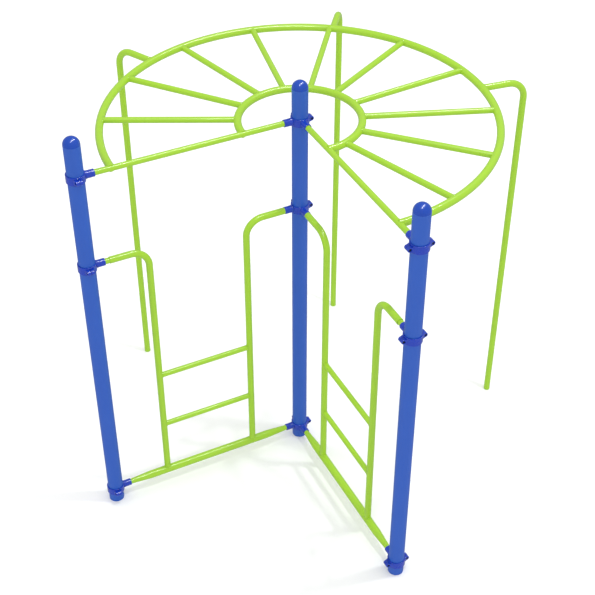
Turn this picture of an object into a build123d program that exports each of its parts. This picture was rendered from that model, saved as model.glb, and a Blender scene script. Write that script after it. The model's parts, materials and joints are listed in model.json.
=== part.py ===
from build123d import *
import math
import os

# Overhead ring climber on three posts and three bent legs, with two ladder walls at a right angle.
# Millimetres, +Z up. The origin is on the centre post's axis, at ground level.
# The open quarter between the two walls faces -Y, and the ring covers the other three quarters.
# Left and right are as seen from the open side.

# Overall layout
post_spacing = 1244.6         # centre post axis to each outer post axis
left_wall_angle = 225.0       # direction of the left wall from the centre post, degrees
right_wall_angle = 315.0      # direction of the right wall
overhead_height = 2325.0      # axis height of the ring and of the end rungs
wall_top_height = 1766.0      # axis height of the bent ends of the wall uprights
wall_rung_heights = (856.0, 466.0)
bottom_rail_height = 84.0

# Posts and caps
post_diameter = 88.9
post_wall = 3.2
post_above_ring = 189.6       # top of the post tube above the ring's axis
post_height = overhead_height + post_above_ring
cap_wall = 4.0
cap_skirt_length = 32.0
cap_skirt_gap = 0.2           # radial play of the skirt in the post
rivet_diameter = 4.8
rivet_play = 0.05             # radial play of a rivet in its hole
rivet_head_diameter = 9.5
rivet_head_height = 1.8
rivet_drop = cap_skirt_length / 2
rivet_angles = (60.0, 120.0)

# Ring, rungs and legs
ring_to_post = 186.6          # outer ring axis to outer post axis, along an end rung
outer_ring_radius = post_spacing - ring_to_post
inner_ring_radius = 331.0
ring_tube = 42.2
rung_tube = 33.4
leg_tube = 38.1
tube_wall = 2.6
rung_count = 10
first_rung_gap = 26.0         # degrees from the left end rung to the first radial rung
last_rung_gap = 19.0          # degrees from the last radial rung to the right end rung
ring_plate_thickness = 3.0    # plates over the ends of the ring tubes, above and below the end rung
leg_angles = (161.5, 98.0, 37.0)
leg_reach = 262.0             # leg axis outside the outer ring's axis
bend_radius = 101.6
weld_gap = 0.15               # room left for the weld where one tube meets another
cope_arc = 60.0               # degrees of ring that a tube's end is cut to fit

# Ladder walls
upright_tube = 38.1
upright_inset = 331.0         # inner upright axis from the centre post axis
outer_upright_inset = 340.6   # outer upright axis from the outer post axis
wall_rung_tube = 31.75
bottom_rail_tube = 48.3
swage_length = 122.0          # tapered length at each end of the bottom rail
swage_clear = 8.0             # straight reduced tube showing outside the socket
outer_stub_show = 27.0        # reduced stub showing between an outer socket and its upright
stub_wall = 4.0
stub_grip = 40.0              # stub length inside an upright
stub_play = 0.15              # radial play of the stub in the upright

# Clamps
spigot = 31.75                # tube size that every socket takes
spigot_clearance = 0.15
spigot_end_gap = 1.0          # spigot end to socket floor
band_height = 45.0
band_thickness = 6.6
band_gap = 0.15               # radial play between band and post
split_gap = 1.6               # gap between the two halves
socket_wall = 4.7
socket_diameter = spigot + 2 * (spigot_clearance + socket_wall)
socket_length = 52.5          # post surface to socket mouth
socket_reach = post_diameter / 2 + socket_length
socket_depth = 45.0
flare_length = 13.0           # cone from the band's height down to the socket
edge_round = 1.6

# Clamp fasteners and the lugs that hold them
bolt_diameter = 9.5
bolt_hole_play = 0.25         # radial play of the bolt in its holes
bolt_head_diameter = bolt_diameter + 6.0
bolt_head_height = 5.0
bolt_seat_depth = 8.0
nut_across_flats = bolt_diameter + 4.5
nut_height = 6.0
nut_thread_play = 0.05        # radial play of the nut on the bolt
nut_seat_depth = 5.0
seat_play = 0.17              # radial play of the nut's corners in its seat
seat_diameter = nut_across_flats / math.cos(math.radians(30)) + 2 * seat_play
bolt_past_nut = 1.0
lug_wall = 5.2                # metal round the bolt's seat
lug_diameter = seat_diameter + 2 * lug_wall
lug_rise = 10.0               # bolt axis outside the band
lug_offset = post_diameter / 2 + band_thickness + lug_rise
lug_head_side = 19.0          # lug length on the side of the bolt head
lug_nut_side = 17.0
lug_flare = 9.0               # how much wider a lug's root is, at each end
set_screw_diameter = 7.9
set_screw_play = 0.05         # radial play of the set screw in its hole
set_screw_tip_gap = 0.05
set_screw_sink = 0.5          # set screw below the socket's surface
set_screw_from_mouth = 16.0

clamp_levels = {"bottom": bottom_rail_height, "mid": wall_top_height, "top": overhead_height}
walls = {"left": left_wall_angle, "right": right_wall_angle}


def on_axis(angle, distance, height=0.0):
    turn = math.radians(angle)
    return (distance * math.cos(turn), distance * math.sin(turn), height)


post_places = {
    "center": (0.0, 0.0, 0.0),
    "left": on_axis(left_wall_angle, post_spacing),
    "right": on_axis(right_wall_angle, post_spacing),
}


def save(shape, name):
    shape.label = name
    export_step(shape, f"parts/{name}.step")


def save_group(solids, name):
    save(Compound(children=solids), name)


def bar_between(start, end, diameter):
    axis = Vector(*end) - Vector(*start)
    plane = Plane(origin=start, z_dir=axis)
    middle = (Align.CENTER, Align.CENTER, Align.MIN)
    return plane * Cylinder(diameter / 2, axis.length, align=middle)


def tube_between(start, end, diameter, wall=tube_wall):
    return bar_between(start, end, diameter) - bar_between(start, end, diameter - 2 * wall)


def bent_tube(points, diameter, wall=tube_wall):
    # A round tube along straight runs joined by bends of the shop's one bending die.
    path = FilletPolyline(*points, radius=bend_radius)
    start = Plane(origin=path @ 0, z_dir=path % 0)
    outside = sweep(start * Circle(diameter / 2), path=path)
    inside = sweep(start * Circle(diameter / 2 - wall), path=path)
    return outside - inside


def ring_bar(radius, diameter, from_angle, arc):
    section = Plane.XZ * Pos(radius, overhead_height, 0) * Circle(diameter / 2)
    return Rot(0, 0, from_angle) * revolve(section, Axis.Z, revolution_arc=arc)


# ---------------------------------------------------------------- posts and caps

def post_tube(place):
    outside = Cylinder(post_diameter / 2, post_height, align=(Align.CENTER, Align.CENTER, Align.MIN))
    inside = Cylinder(post_diameter / 2 - post_wall, post_height,
                      align=(Align.CENTER, Align.CENTER, Align.MIN))
    tube = outside - inside
    for angle in rivet_angles:
        tube = tube - rivet_hole(angle)
    return Pos(*place) * tube


def rivet_hole(angle):
    height = post_height - rivet_drop
    return bar_between(on_axis(angle, post_diameter / 4, height),
                       on_axis(angle, post_diameter, height), rivet_diameter)


def domed_cap(place):
    radius = post_diameter / 2
    skirt_radius = radius - post_wall - cap_skirt_gap
    dome = Sphere(radius) - Sphere(radius - cap_wall)
    dome = dome & Pos(0, 0, radius) * Box(4 * radius, 4 * radius, 2 * radius)
    skirt = Cylinder(skirt_radius, cap_skirt_length) - Cylinder(skirt_radius - cap_wall, cap_skirt_length)
    seat = Cylinder(skirt_radius, cap_wall) - Cylinder(skirt_radius - cap_wall, cap_wall)
    cap = dome + Pos(0, 0, -cap_skirt_length / 2) * skirt + Pos(0, 0, cap_wall / 2) * seat
    cap = Pos(0, 0, post_height) * cap
    for angle in rivet_angles:
        cap = cap - rivet_hole(angle)
    return Pos(*place) * cap


def cap_rivets():
    rivets = []
    height = post_height - rivet_drop
    inner = post_diameter / 2 - post_wall - cap_skirt_gap - cap_wall
    for place in post_places.values():
        for angle in rivet_angles:
            face = post_diameter / 2
            shank = bar_between(on_axis(angle, inner, height), on_axis(angle, face, height),
                                rivet_diameter - 2 * rivet_play)
            head = bar_between(on_axis(angle, face, height),
                               on_axis(angle, face + rivet_head_height, height), rivet_head_diameter)
            rivets.append(Pos(*place) * (shank + head))
    return rivets


# ---------------------------------------------------------------- clamps

def along_x(shape, start):
    # Lays a shape that stands on the XY plane along +X, starting at the given distance.
    return Pos(start, 0, 0) * Rot(0, 90, 0) * shape


def standing_cylinder(radius, height):
    return Cylinder(radius, height, align=(Align.CENTER, Align.CENTER, Align.MIN))


def rounded_cylinder(radius, height, rounding):
    bar = standing_cylinder(radius, height)
    return fillet(bar.edges().filter_by(GeomType.CIRCLE), rounding)


def socket_arm():
    band_radius = post_diameter / 2 + band_thickness
    root = band_radius - band_thickness / 2
    arm = along_x(rounded_cylinder(socket_diameter / 2, socket_reach - root, edge_round), root)
    flare = Cone(band_height / 2, socket_diameter / 2, flare_length,
                 align=(Align.CENTER, Align.CENTER, Align.MIN))
    return arm + along_x(flare, band_radius - 2 * edge_round)


def socket_bore():
    radius = spigot / 2 + spigot_clearance
    return along_x(standing_cylinder(radius, 2 * socket_depth), socket_reach - socket_depth)


def set_screw_axis_bar(diameter, inner, outer):
    at = socket_reach - set_screw_from_mouth
    return bar_between((at, 0, -inner), (at, 0, -outer), diameter)


def lug_axis(ear_angle, start, end, diameter):
    # A round bar along the bolt of one lug. Positive lengths are on the socket side of the split.
    side = math.copysign(1, ear_angle)
    turn = math.radians(ear_angle)
    out = Vector(math.cos(turn), math.sin(turn), 0) * lug_offset
    along = Vector(math.sin(turn), -math.cos(turn), 0) * side
    first = out + along * start
    last = out + along * end
    return bar_between(tuple(first), tuple(last), diameter)


def lug_root(ear_angle, socket_side, back_side):
    # The web that joins a lug to the band. Its corners end in the middle of the band's wall.
    side = math.copysign(1, ear_angle)
    turn = math.radians(ear_angle)
    out = Vector(math.cos(turn), math.sin(turn), 0)
    along = Vector(math.sin(turn), -math.cos(turn), 0) * side
    middle = post_diameter / 2 + band_thickness / 2
    corners = []
    for across in (-back_side, socket_side):
        wide = across + math.copysign(lug_flare, across)
        deep = math.sqrt(middle ** 2 - wide ** 2)
        corners.append((out * deep + along * wide, out * lug_offset + along * across))
    outline = Polyline(corners[0][0], corners[0][1], corners[1][1], corners[1][0], close=True)
    web = extrude(make_face(outline), lug_diameter, dir=(0, 0, 1))
    return Pos(0, 0, -lug_diameter / 2) * fillet(web.edges(), edge_round)


def lug(ear_angle, socket_side, back_side):
    bar = lug_axis(ear_angle, -back_side, socket_side, lug_diameter)
    bar = fillet(bar.edges().filter_by(GeomType.CIRCLE), edge_round)
    return bar + lug_root(ear_angle, socket_side, back_side)


def half_space(angle, sign):
    big = 6 * post_diameter
    slab = Pos(sign * (big / 2 + split_gap / 2), 0, 0) * Box(big, big, big)
    return Rot(0, 0, angle) * slab


def clamp_at_origin(socket_turns, ear_angle, head_side):
    # The clamp round a post on the Z axis. The sockets are turned from +X by socket_turns, and the
    # lugs are at plus and minus ear_angle. The bolt heads are on the socket side where head_side is 1.
    body = Pos(0, 0, -band_height / 2) * rounded_cylinder(
        post_diameter / 2 + band_thickness, band_height, edge_round)
    socket_side = lug_head_side if head_side == 1 else lug_nut_side
    back_side = lug_nut_side if head_side == 1 else lug_head_side
    for ear in (ear_angle, -ear_angle):
        body = body + lug(ear, socket_side, back_side)
    for turn in socket_turns:
        body = body + Rot(0, 0, turn) * socket_arm()
    body = body - Cylinder(post_diameter / 2 + band_gap, 2 * band_height)
    for turn in socket_turns:
        body = body - Rot(0, 0, turn) * socket_bore()
        screw_hole = set_screw_axis_bar(set_screw_diameter + 2 * set_screw_play, 0, socket_diameter)
        body = body - Rot(0, 0, turn) * screw_hole
    for ear in (ear_angle, -ear_angle):
        body = body - lug_axis(ear, -2 * lug_head_side, 2 * lug_head_side,
                               bolt_diameter + 2 * bolt_hole_play)
        seat_start = head_side * (lug_head_side - bolt_seat_depth)
        body = body - lug_axis(ear, seat_start, head_side * 2 * lug_head_side, seat_diameter)
        nut_start = -head_side * (lug_nut_side - nut_seat_depth)
        body = body - lug_axis(ear, nut_start, -head_side * 2 * lug_nut_side, seat_diameter)
    first = ear_angle - 90
    front_zone = half_space(first, 1) + half_space(-first, 1)
    back_zone = half_space(first, -1) & half_space(-first, -1)
    return body & front_zone, body & back_zone


def clamp_bolt(ear, head_side):
    seat = head_side * (lug_head_side - bolt_seat_depth)
    head = lug_axis(ear, seat, seat + head_side * bolt_head_height, bolt_head_diameter)
    end = -head_side * (lug_nut_side - nut_seat_depth + nut_height + bolt_past_nut)
    return head + lug_axis(ear, seat, end, bolt_diameter)


def clamp_nut(ear, head_side):
    side = math.copysign(1, ear)
    turn = math.radians(ear)
    out = Vector(math.cos(turn), math.sin(turn), 0) * lug_offset
    along = Vector(math.sin(turn), -math.cos(turn), 0) * side * -head_side
    start = out + along * (lug_nut_side - nut_seat_depth)
    face = Plane(origin=tuple(start), x_dir=(0, 0, 1), z_dir=tuple(along))
    hexagon = RegularPolygon(nut_across_flats / 2, 6, major_radius=False)
    nut = extrude(face * hexagon, nut_height)
    thread = bolt_diameter + 2 * nut_thread_play
    return nut - lug_axis(ear, -2 * lug_nut_side, 2 * lug_nut_side, thread)


def set_screw():
    return set_screw_axis_bar(set_screw_diameter, spigot / 2 + set_screw_tip_gap,
                              socket_diameter / 2 - set_screw_sink)


# Each post's clamp: direction of local +X, socket turns, lug angle and the side of the bolt heads.
clamp_plans = {
    "center": ((left_wall_angle + right_wall_angle) / 2,
               ((left_wall_angle - right_wall_angle) / 2, (right_wall_angle - left_wall_angle) / 2),
               90 + (right_wall_angle - left_wall_angle) / 2, 1),
    "left": (left_wall_angle - 180, (0.0,), 90.0, -1),
    "right": (right_wall_angle - 180, (0.0,), 90.0, -1),
}


def save_clamps():
    bolts = []
    nuts = []
    screws = []
    for post, (facing, turns, ear_angle, head_side) in clamp_plans.items():
        socket_half, back_half = clamp_at_origin(turns, ear_angle, head_side)
        for level, height in clamp_levels.items():
            place = Pos(*post_places[post]) * Pos(0, 0, height) * Rot(0, 0, facing)
            save(place * socket_half, f"clamp_{post}_{level}_socket")
            save(place * back_half, f"clamp_{post}_{level}_back")
            for ear in (ear_angle, -ear_angle):
                bolts.append(place * clamp_bolt(ear, head_side))
                nuts.append(place * clamp_nut(ear, head_side))
            for turn in turns:
                screws.append(place * Rot(0, 0, turn) * set_screw())
    save_group(bolts, "clamp_bolts")
    save_group(nuts, "clamp_nuts")
    save_group(screws, "socket_set_screws")


# ---------------------------------------------------------------- overhead ring

spigot_start = socket_reach - socket_depth + spigot_end_gap
spigot_end = post_spacing - spigot_start


def end_rung_bar(angle, diameter):
    return bar_between(on_axis(angle, spigot_start, overhead_height),
                       on_axis(angle, spigot_end, overhead_height), diameter)


def end_rung(angle):
    return end_rung_bar(angle, spigot) - end_rung_bar(angle, spigot - 2 * tube_wall)


ring_arc = 360 - (right_wall_angle - left_wall_angle)
rung_pitch = (ring_arc - first_rung_gap - last_rung_gap) / (rung_count - 1)


def ring_tube_of(radius):
    # The ring runs from the right end rung round the back to the left one, and each of its ends is
    # cut to fit round an end rung.
    ring = ring_bar(radius, ring_tube, right_wall_angle, ring_arc)
    ring = ring - ring_bar(radius, ring_tube - 2 * tube_wall, right_wall_angle, ring_arc)
    for angle in walls.values():
        ring = ring - end_rung_bar(angle, spigot + 2 * weld_gap)
    return ring


def ring_end_plates():
    plates = []
    for radius in (outer_ring_radius, inner_ring_radius):
        thick = math.degrees(ring_plate_thickness / radius)
        for start, angle in ((right_wall_angle - thick, right_wall_angle), (left_wall_angle, left_wall_angle)):
            plate = ring_bar(radius, ring_tube, start, thick)
            plate = plate - end_rung_bar(angle, spigot + 2 * weld_gap)
            plates += plate.solids()
    return plates


def radial_rung(angle):
    # A straight tube whose two ends are coped to sit on the rings.
    start = on_axis(angle, inner_ring_radius, overhead_height)
    end = on_axis(angle, outer_ring_radius, overhead_height)
    rung = tube_between(start, end, rung_tube)
    for radius in (inner_ring_radius, outer_ring_radius):
        rung = rung - ring_bar(radius, ring_tube + 2 * weld_gap, angle - cope_arc / 2, cope_arc)
    return rung


def bent_leg(angle):
    leg_radius = outer_ring_radius + leg_reach
    corner = on_axis(angle, leg_radius, overhead_height)
    leg = bent_tube([on_axis(angle, outer_ring_radius, overhead_height), corner,
                     on_axis(angle, leg_radius, 0)], leg_tube)
    return leg - ring_bar(outer_ring_radius, ring_tube + 2 * weld_gap, angle - cope_arc / 2, cope_arc)


# ---------------------------------------------------------------- ladder walls

def bottom_rail(angle):
    # One tube of full size between two tapered ends that fit the sockets.
    small = spigot / 2
    full = bottom_rail_tube / 2
    taper_start = socket_reach + swage_clear
    stations = [(spigot_start, small), (taper_start, small), (taper_start + swage_length, full)]
    stations += [(post_spacing - along, radius) for along, radius in reversed(stations)]
    outer = [(along, radius) for along, radius in stations]
    inner = [(along, radius - tube_wall) for along, radius in reversed(stations)]
    outline = Plane.XZ * make_face(Polyline(*outer, *inner, close=True))
    rail = revolve(outline, Axis.X)
    return Rot(0, 0, angle) * Pos(0, 0, bottom_rail_height) * rail


def rail_clearance(angle):
    return bar_between(on_axis(angle, 0, bottom_rail_height),
                       on_axis(angle, post_spacing, bottom_rail_height),
                       bottom_rail_tube + 2 * weld_gap)


outer_upright = post_spacing - outer_upright_inset


def inner_upright_tube(angle):
    points = [on_axis(angle, socket_reach + weld_gap, wall_top_height),
              on_axis(angle, upright_inset, wall_top_height),
              on_axis(angle, upright_inset, bottom_rail_height)]
    return bent_tube(points, upright_tube) - rail_clearance(angle)


def outer_upright_tube(angle):
    tube_end = post_spacing - socket_reach - outer_stub_show
    points = [on_axis(angle, tube_end, wall_top_height),
              on_axis(angle, outer_upright, wall_top_height),
              on_axis(angle, outer_upright, bottom_rail_height)]
    return bent_tube(points, upright_tube) - rail_clearance(angle)


def wall_rung(angle, height):
    rung = tube_between(on_axis(angle, upright_inset, height),
                        on_axis(angle, outer_upright, height), wall_rung_tube)
    for distance in (upright_inset, outer_upright):
        rung = rung - bar_between(on_axis(angle, distance, height - wall_rung_tube),
                                  on_axis(angle, distance, height + wall_rung_tube),
                                  upright_tube + 2 * weld_gap)
    return rung


def stub_profile(angle, mouth_end, step, tube_side):
    # A turned stub: the full spigot size up to the step, then a tail that fits inside the upright.
    tail = upright_tube - 2 * (tube_wall + stub_play)
    bore = min(spigot, tail) - 2 * stub_wall
    stub = bar_between(on_axis(angle, mouth_end, wall_top_height),
                       on_axis(angle, step, wall_top_height), spigot)
    stub = stub + bar_between(on_axis(angle, step, wall_top_height),
                              on_axis(angle, tube_side, wall_top_height), tail)
    return stub - bar_between(on_axis(angle, mouth_end, wall_top_height),
                              on_axis(angle, tube_side, wall_top_height), bore)


def upright_stubs(angle):
    inner_step = socket_reach
    outer_step = post_spacing - socket_reach - outer_stub_show
    return [stub_profile(angle, spigot_start, inner_step, inner_step + stub_grip),
            stub_profile(angle, spigot_end, outer_step, outer_step - stub_grip)]


# ---------------------------------------------------------------- write every piece

os.makedirs("parts", exist_ok=True)

for post, place in post_places.items():
    save(post_tube(place), f"post_{post}")
    save(domed_cap(place), f"cap_{post}")
save_group(cap_rivets(), "cap_rivets")

save_clamps()

save(ring_tube_of(outer_ring_radius), "outer_ring")
save(ring_tube_of(inner_ring_radius), "inner_ring")
save_group(ring_end_plates(), "ring_end_plates")
for index in range(rung_count):
    angle = left_wall_angle - first_rung_gap - index * rung_pitch
    save(radial_rung(angle), f"overhead_rung_{index + 1:02d}")
for side, angle in walls.items():
    save(end_rung(angle), f"end_rung_{side}")
for side, angle in zip(("left", "back", "right"), leg_angles):
    save(bent_leg(angle), f"leg_{side}")

for side, angle in walls.items():
    save(bottom_rail(angle), f"bottom_rail_{side}")
    save(inner_upright_tube(angle), f"upright_{side}_inner")
    save(outer_upright_tube(angle), f"upright_{side}_outer")
    save_group(upright_stubs(angle), f"upright_stubs_{side}")
    for name, height in zip(("upper", "lower"), wall_rung_heights):
        save(wall_rung(angle, height), f"wall_rung_{side}_{name}")
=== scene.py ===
import json
import math

import bmesh
import bpy
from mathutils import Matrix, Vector


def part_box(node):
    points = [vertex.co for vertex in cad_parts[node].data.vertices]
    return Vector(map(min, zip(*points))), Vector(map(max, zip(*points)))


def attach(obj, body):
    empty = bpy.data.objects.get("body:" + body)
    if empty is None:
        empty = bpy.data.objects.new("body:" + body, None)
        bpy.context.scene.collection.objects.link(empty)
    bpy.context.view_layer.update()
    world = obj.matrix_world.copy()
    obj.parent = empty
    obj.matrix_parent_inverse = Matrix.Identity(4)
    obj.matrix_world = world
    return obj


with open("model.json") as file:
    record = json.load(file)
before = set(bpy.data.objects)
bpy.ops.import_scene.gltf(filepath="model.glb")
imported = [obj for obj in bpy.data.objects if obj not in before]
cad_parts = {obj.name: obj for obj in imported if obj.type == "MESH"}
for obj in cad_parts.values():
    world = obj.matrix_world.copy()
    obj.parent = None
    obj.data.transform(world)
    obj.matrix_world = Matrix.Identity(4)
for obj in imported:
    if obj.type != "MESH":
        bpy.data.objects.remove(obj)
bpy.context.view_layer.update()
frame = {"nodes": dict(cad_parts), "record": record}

# Overhead ring climber: blue posts and clamps, green welded tubes. Metres throughout.
# The tubes and clamps come from the frame. Added here: weld beads, finishes, floor, light and camera.


def hexToLinear(hexColour):
    channels = [int(hexColour[i:i + 2], 16) / 255 for i in (1, 3, 5)]
    linear = [c / 12.92 if c <= 0.04045 else ((c + 0.055) / 1.055) ** 2.4 for c in channels]
    return (*linear, 1.0)


def addNode(owner, kind, settings=None, inputs=None, links=None):
    # owner is a material or the world; settings are attributes, inputs are socket values
    # and links are (this node's input, other node, its output)
    node = owner.node_tree.nodes.new(kind)
    for name, value in (settings or {}).items():
        setattr(node, name, value)
    for name, value in (inputs or {}).items():
        node.inputs[name].default_value = value
    for name, other, output in (links or []):
        owner.node_tree.links.new(other.outputs[output], node.inputs[name])
    return node


def newMaterial(name):
    material = bpy.data.materials.new(name)
    material.use_nodes = True
    material.node_tree.nodes.clear()
    return material


paintIor = 1.5  # polyester powder paint


def makePowderCoat(name, look):
    # Powder coat is melted paint: an even colour, a soft gloss and a fine orange-peel ripple.
    material = newMaterial(name)
    coords = addNode(material, "ShaderNodeTexCoord")
    cloud = addNode(material, "ShaderNodeTexNoise",
                    inputs={"Scale": 1 / look["cloudSize"], "Detail": 3.0, "Roughness": 0.55},
                    links=[("Vector", coords, "Object")])
    colour = addNode(material, "ShaderNodeMix", settings={"data_type": "RGBA"},
                     links=[("Factor", cloud, "Fac")])
    colour.inputs["A"].default_value = hexToLinear(look["thinColour"])
    colour.inputs["B"].default_value = hexToLinear(look["fullColour"])
    gloss = addNode(material, "ShaderNodeMapRange",
                    inputs={"To Min": look["roughness"][0], "To Max": look["roughness"][1]},
                    links=[("Value", cloud, "Fac")])
    peel = addNode(material, "ShaderNodeTexNoise",
                   inputs={"Scale": 1 / look["peelSize"], "Detail": 2.0, "Roughness": 0.5},
                   links=[("Vector", coords, "Object")])
    ripple = addNode(material, "ShaderNodeBump",
                     inputs={"Strength": look["peelStrength"], "Distance": look["peelDepth"]},
                     links=[("Height", peel, "Fac")])
    base = addNode(material, "ShaderNodeTexNoise",
                   inputs={"Scale": 1 / look["baseSize"], "Detail": 4.0, "Roughness": 0.6},
                   links=[("Vector", coords, "Object")])
    surface = addNode(material, "ShaderNodeBump",
                      inputs={"Strength": look["baseStrength"], "Distance": look["baseDepth"]},
                      links=[("Height", base, "Fac"), ("Normal", ripple, "Normal")])
    shader = addNode(material, "ShaderNodeBsdfPrincipled",
                     inputs={"Metallic": 0.0, "IOR": paintIor, "Coat Weight": look["coat"],
                             "Coat Roughness": look["coatRoughness"]},
                     links=[("Base Color", colour, "Result"), ("Roughness", gloss, "Result"),
                            ("Normal", surface, "Normal")])
    addNode(material, "ShaderNodeOutputMaterial", links=[("Surface", shader, "BSDF")])
    return material


# Lime powder coat on drawn steel tube: bright and even, with a faint draw waviness under the paint.
# The real peel is about 2 mm across, too fine to show at this distance, so it is drawn at 6 mm.
greenTubeLook = {
    "thinColour": "#A0CE2A", "fullColour": "#99C826", "cloudSize": 0.12,
    "roughness": (0.26, 0.36), "peelSize": 0.006, "peelStrength": 0.12, "peelDepth": 0.0006,
    "baseSize": 0.05, "baseStrength": 0.10, "baseDepth": 0.001, "coat": 0.6, "coatRoughness": 0.08,
}

# Royal blue powder coat on the post tubes: satin and even, with the same peel.
bluePostLook = {
    "thinColour": "#2358BA", "fullColour": "#1F53B4", "cloudSize": 0.20,
    "roughness": (0.36, 0.46), "peelSize": 0.006, "peelStrength": 0.10, "peelDepth": 0.0006,
    "baseSize": 0.08, "baseStrength": 0.08, "baseDepth": 0.001, "coat": 0.0, "coatRoughness": 0.25,
}

# The same blue, deeper and glossier on the cast clamps: the paint follows the sand-cast skin, so its
# highlight breaks up a little. That skin's grain is under 1 mm and is drawn at 2.2 mm so that it shows.
blueCastLook = {
    "thinColour": "#0A38B4", "fullColour": "#0632AA", "cloudSize": 0.03,
    "roughness": (0.24, 0.32), "peelSize": 0.006, "peelStrength": 0.10, "peelDepth": 0.0005,
    "baseSize": 0.0022, "baseStrength": 0.04, "baseDepth": 0.0003, "coat": 0.7, "coatRoughness": 0.05,
}

# The same blue on the spun caps: smooth under the paint, with a small sharp highlight.
blueCapLook = {
    "thinColour": "#0C44AC", "fullColour": "#083FA6", "cloudSize": 0.05,
    "roughness": (0.22, 0.28), "peelSize": 0.006, "peelStrength": 0.05, "peelDepth": 0.0005,
    "baseSize": 0.04, "baseStrength": 0.03, "baseDepth": 0.0008, "coat": 0.3, "coatRoughness": 0.06,
}


def makeBareMetal(name, look):
    # Bare or plated metal: a fine grain and a slightly patchy shine.
    material = newMaterial(name)
    coords = addNode(material, "ShaderNodeTexCoord")
    patch = addNode(material, "ShaderNodeTexNoise",
                    inputs={"Scale": 1 / look["patchSize"], "Detail": 3.0},
                    links=[("Vector", coords, "Object")])
    colour = addNode(material, "ShaderNodeMix", settings={"data_type": "RGBA"},
                     links=[("Factor", patch, "Fac")])
    colour.inputs["A"].default_value = hexToLinear(look["darkColour"])
    colour.inputs["B"].default_value = hexToLinear(look["lightColour"])
    gloss = addNode(material, "ShaderNodeMapRange",
                    inputs={"To Min": look["roughness"][0], "To Max": look["roughness"][1]},
                    links=[("Value", patch, "Fac")])
    lines = addNode(material, "ShaderNodeTexNoise",
                    inputs={"Scale": 1 / look["lineSize"], "Detail": 2.0},
                    links=[("Vector", coords, "Object")])
    grain = addNode(material, "ShaderNodeBump",
                    inputs={"Strength": look["lineStrength"], "Distance": look["lineDepth"]},
                    links=[("Height", lines, "Fac")])
    shader = addNode(material, "ShaderNodeBsdfPrincipled", inputs={"Metallic": 1.0},
                     links=[("Base Color", colour, "Result"), ("Roughness", gloss, "Result"),
                            ("Normal", grain, "Normal")])
    addNode(material, "ShaderNodeOutputMaterial", links=[("Surface", shader, "BSDF")])
    return material


# Zinc-plated steel bolts, nuts and screws: grey, dull and even. Their plating grain is well under 1 mm.
zincLook = {"darkColour": "#3C3F45", "lightColour": "#585C64", "patchSize": 0.004,
            "roughness": (0.32, 0.48), "lineSize": 0.0008, "lineStrength": 0.15, "lineDepth": 0.0002}

# Headed aluminium rivets: pale and satin.
rivetLook = {"darkColour": "#A9ACB0", "lightColour": "#C4C7CB", "patchSize": 0.003,
             "roughness": (0.28, 0.40), "lineSize": 0.0006, "lineStrength": 0.15, "lineDepth": 0.0002}

greenPowderCoat = makePowderCoat("green_powder_coated_tube", greenTubeLook)
bluePostCoat = makePowderCoat("blue_powder_coated_post", bluePostLook)
blueCastCoat = makePowderCoat("blue_powder_coated_casting", blueCastLook)
blueCapCoat = makePowderCoat("blue_powder_coated_cap", blueCapLook)
zincPlate = makeBareMetal("zinc_plated_steel", zincLook)
rivetMetal = makeBareMetal("satin_aluminium", rivetLook)

finishByStart = {
    "post_": bluePostCoat, "cap_rivets": rivetMetal, "cap_": blueCapCoat,
    "clamp_bolts": zincPlate, "clamp_nuts": zincPlate, "socket_set_screws": zincPlate,
    "clamp_": blueCastCoat,
}


def finishFor(node):
    for start in sorted(finishByStart, key=len, reverse=True):
        if node.startswith(start):
            return finishByStart[start]
    return greenPowderCoat


for nodeName, nodeObject in frame["nodes"].items():
    nodeObject.data.materials.clear()
    nodeObject.data.materials.append(finishFor(nodeName))
print("finishes set on", len(frame["nodes"]), "frame nodes")


def boxOf(node):
    low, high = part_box(node)
    return Vector(low), Vector(high)


def middleOf(node):
    low, high = boxOf(node)
    return (low + high) / 2


def flat(vector):
    return Vector((vector.x, vector.y, 0.0))


def ringOf(node):
    # A ring that reaches its full width on both sides: (centre, radius to the tube's axis, tube radius)
    low, high = boxOf(node)
    tubeRadius = (high.z - low.z) / 2
    outside = (high.x - low.x) / 2
    centre = Vector(((low.x + high.x) / 2, high.y - outside, (low.z + high.z) / 2))
    return centre, outside - tubeRadius, tubeRadius


postAxis = flat(middleOf("post_center"))


# Welds under the same paint: a narrow bead round each joint, with the ripples of the welder's steps.
weldLook = {"beadRadius": 0.0026, "rippleDepth": 0.0004, "ripplePitch": 0.004, "fewestRipples": 6,
            "pointsAround": 64, "sides": 8}


def weldPath(centre, branchDirection, mainDirection, branchRadius, mainRadius):
    # The line where a round branch tube meets a round main tube at a right angle.
    out = branchDirection.normalized()
    along = mainDirection.normalized()
    up = out.cross(along).normalized()
    points = []
    for step in range(weldLook["pointsAround"]):
        turn = 2 * math.pi * step / weldLook["pointsAround"]
        side = branchRadius * math.cos(turn)
        lift = branchRadius * math.sin(turn)
        reach = math.sqrt(max(mainRadius ** 2 - lift ** 2, 0.0))
        points.append(centre + out * reach + along * side + up * lift)
    return points


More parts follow.
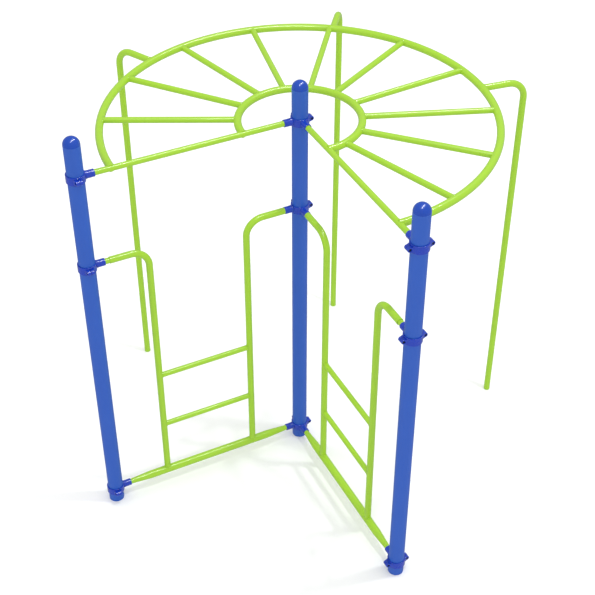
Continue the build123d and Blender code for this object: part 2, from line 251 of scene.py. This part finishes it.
def addBead(mesh, points, closed=True):
    # A round bead along the points, a little thicker at each ripple.
    count = len(points)
    middle = sum(points, Vector()) / count
    length = sum((points[i] - points[i - 1]).length for i in range(1, count))
    waves = max(weldLook["fewestRipples"], round(length / weldLook["ripplePitch"]))
    rings = []
    for i, point in enumerate(points):
        before = points[i - 1] if closed or i > 0 else point
        after = points[(i + 1) % count] if closed or i < count - 1 else point
        tangent = (after - before).normalized()
        outward = point - middle
        outward = (outward - tangent * outward.dot(tangent)).normalized()
        across = tangent.cross(outward).normalized()
        radius = weldLook["beadRadius"] + weldLook["rippleDepth"] * math.cos(2 * math.pi * waves * i / count)
        ring = []
        for side in range(weldLook["sides"]):
            turn = 2 * math.pi * side / weldLook["sides"]
            ring.append(mesh.verts.new(point + (outward * math.cos(turn) + across * math.sin(turn)) * radius))
        rings.append(ring)
    for i in range(count if closed else count - 1):
        here = rings[i]
        there = rings[(i + 1) % count]
        for side in range(weldLook["sides"]):
            after = (side + 1) % weldLook["sides"]
            mesh.faces.new((here[side], here[after], there[after], there[side]))
    if not closed:
        mesh.faces.new(rings[0])
        mesh.faces.new(rings[-1])


def finishWelds(name, paths, openPaths=()):
    mesh = bmesh.new()
    for points in paths:
        addBead(mesh, points)
    for points in openPaths:
        addBead(mesh, points, closed=False)
    bmesh.ops.recalc_face_normals(mesh, faces=mesh.faces)
    data = bpy.data.meshes.new(name)
    mesh.to_mesh(data)
    mesh.free()
    for polygon in data.polygons:
        polygon.use_smooth = True
    piece = bpy.data.objects.new(name, data)
    bpy.context.scene.collection.objects.link(piece)
    data.materials.append(greenPowderCoat)
    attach(piece, "root")


outerCentre, outerRadius, ringTubeRadius = ringOf("outer_ring")
innerCentre, innerRadius = ringOf("inner_ring")[:2]
vertical = Vector((0, 0, 1))


def ringWeld(direction, radius, outward, branchRadius, centre):
    across = vertical.cross(direction)
    start = centre + direction * radius
    return weldPath(start, direction * outward, across, branchRadius, ringTubeRadius)


overheadPaths = []
for nodeName in sorted(n for n in frame["nodes"] if n.startswith("overhead_rung")):
    low, high = boxOf(nodeName)
    direction = flat((low + high) / 2 - outerCentre).normalized()
    rungRadius = (high.z - low.z) / 2
    overheadPaths.append(ringWeld(direction, innerRadius, 1, rungRadius, innerCentre))
    overheadPaths.append(ringWeld(direction, outerRadius, -1, rungRadius, outerCentre))
finishWelds("welds_overhead_rungs", overheadPaths)

# An end rung lies across a ring's cut end, so its beads run only half way round, on the ring's side.
endPaths = []
for side in ("left", "right"):
    low, high = boxOf("end_rung_" + side)
    rungRadius = (high.z - low.z) / 2
    direction = flat(middleOf("post_" + side) - postAxis).normalized()
    ringSide = vertical.cross(direction) * (-1 if side == "left" else 1)
    for radius in (innerRadius, outerRadius):
        for outward in (1, -1):
            halfBead = []
            for step in range(weldLook["pointsAround"] // 2 + 1):
                turn = math.pi * step / (weldLook["pointsAround"] // 2) - math.pi / 2
                lift = rungRadius * math.sin(turn)
                reach = math.sqrt(max(ringTubeRadius ** 2 - lift ** 2, 0.0))
                halfBead.append(outerCentre + direction * (radius + outward * reach)
                                + ringSide * rungRadius * math.cos(turn) + vertical * lift)
            endPaths.append(halfBead)
finishWelds("welds_end_rungs", [], endPaths)

# each leg stands where the record puts its foot, straight out from the centre post
mounts = {mount["name"]: mount for mount in frame["record"]["mounts"]}
legRadius = mounts["leg_foot_left"]["dims"]["r_mm"] / 1000
legPaths = []
for side in ("left", "back", "right"):
    foot = Vector(mounts["leg_foot_" + side]["pos_m"])
    direction = flat(foot - postAxis).normalized()
    legPaths.append(ringWeld(direction, outerRadius, 1, legRadius, outerCentre))
finishWelds("welds_legs", legPaths)

# The wall uprights are the same tube as the legs.
for side in ("left", "right"):
    wallDirection = flat(middleOf("post_" + side) - postAxis).normalized()
    railLow, railHigh = boxOf("bottom_rail_" + side)
    railHeight = (railLow.z + railHigh.z) / 2
    railRadius = (railHigh.z - railLow.z) / 2
    rungLow, rungHigh = boxOf(f"wall_rung_{side}_lower")
    rungRadius = (rungHigh.z - rungLow.z) / 2
    paths = []
    for name, farSide in (("inner", True), ("outer", False)):
        low, high = boxOf(f"upright_{side}_{name}")
        # an upright's bent top runs to its post: the straight part of the inner one is on its box's far side,
        # seen from the centre post, and that of the outer one on its near side
        reach = max(abs(low.x), abs(high.x)) if farSide else min(abs(low.x), abs(high.x))
        distance = (reach - legRadius) if farSide else (reach + legRadius)
        distance = distance / abs(wallDirection.x)
        axis = postAxis + wallDirection * distance
        foot = Vector((axis.x, axis.y, railHeight))
        paths.append(weldPath(foot, vertical, wallDirection, legRadius, railRadius))
        for level in ("upper", "lower"):
            height = middleOf(f"wall_rung_{side}_{level}").z
            joint = Vector((axis.x, axis.y, height))
            inward = wallDirection if farSide else -wallDirection
            paths.append(weldPath(joint, inward, vertical, rungRadius, legRadius))
    finishWelds("welds_wall_" + side, paths)
print("welds made")


stage = {"floorSize": 60.0, "floorColour": "#F7F7F7", "floorRoughness": 0.9,
         "roomColour": "#FFFFFF", "roomStrength": 1.14, "roomInGloss": 0.38}
floorMesh = bpy.data.meshes.new("floor")
half = stage["floorSize"] / 2
floorMesh.from_pydata([(-half, -half, 0), (half, -half, 0), (half, half, 0), (-half, half, 0)], [],
                      [(0, 1, 2, 3)])
floor = bpy.data.objects.new("floor", floorMesh)
bpy.context.scene.collection.objects.link(floor)
floorMaterial = newMaterial("pale_studio_floor")
floorShader = addNode(floorMaterial, "ShaderNodeBsdfPrincipled",
                      inputs={"Base Color": hexToLinear(stage["floorColour"]),
                              "Roughness": stage["floorRoughness"], "Specular IOR Level": 0.0})
addNode(floorMaterial, "ShaderNodeOutputMaterial", links=[("Surface", floorShader, "BSDF")])
floorMesh.materials.append(floorMaterial)
floor.visible_glossy = False

room = bpy.data.worlds.new("studio")
bpy.context.scene.world = room
room.use_nodes = True
roomBackground = room.node_tree.nodes["Background"]
roomBackground.inputs["Color"].default_value = hexToLinear(stage["roomColour"])
# the room lights the paint fully but is seen much darker in its gloss, like walls hung with black cloth
rayKind = addNode(room, "ShaderNodeLightPath")
roomLevel = addNode(room, "ShaderNodeMapRange",
                    inputs={"To Min": stage["roomStrength"], "To Max": stage["roomInGloss"]},
                    links=[("Value", rayKind, "Is Glossy Ray")])
room.node_tree.links.new(roomLevel.outputs["Result"], roomBackground.inputs["Strength"])

lamps = {
    # a small far key, almost overhead: faint narrow shadows that run a little to the left
    "key": {"place": (2.6, 0.36, 11.7), "size": (0.45, 0.45), "turn": 8, "power": 290,
            "lightsPaint": True, "showsInGloss": False},
    # a long narrow softbox seen only in the gloss: the thin slanted streak on every cap, a line on every tube
    "softbox": {"place": (2.1, 0.3, 11.7), "size": (12.0, 0.8), "turn": 75, "power": 1150,
                "lightsPaint": False, "showsInGloss": True},
}
for lampName, lamp in lamps.items():
    data = bpy.data.lights.new(lampName, "AREA")
    data.shape = "RECTANGLE"
    data.size, data.size_y = lamp["size"]
    data.energy = lamp["power"]
    lampObject = bpy.data.objects.new(lampName, data)
    bpy.context.scene.collection.objects.link(lampObject)
    lampObject.location = lamp["place"]
    lampObject.rotation_euler = (0.0, 0.0, math.radians(lamp["turn"]))
    lampObject.visible_diffuse = lamp["lightsPaint"]
    lampObject.visible_glossy = lamp["showsInGloss"]

# angles in degrees, lens and sensor in millimetres
cameraPlan = {"place": (1.866, -5.561, 5.842), "azimuth": 18.675, "elevation": 38.88,
              "lens": 77.29, "sensor": 36.0, "farthest": 200.0}
cameraData = bpy.data.cameras.new("camera")
cameraData.lens = cameraPlan["lens"]
cameraData.sensor_width = cameraPlan["sensor"]
cameraData.clip_end = cameraPlan["farthest"]
camera = bpy.data.objects.new("camera", cameraData)
bpy.context.scene.collection.objects.link(camera)
camera.location = cameraPlan["place"]
camera.rotation_euler = (math.radians(90 - cameraPlan["elevation"]), 0.0, math.radians(cameraPlan["azimuth"]))
bpy.context.scene.camera = camera
bpy.context.scene.view_settings.view_transform = "Standard"
print("stage ready")
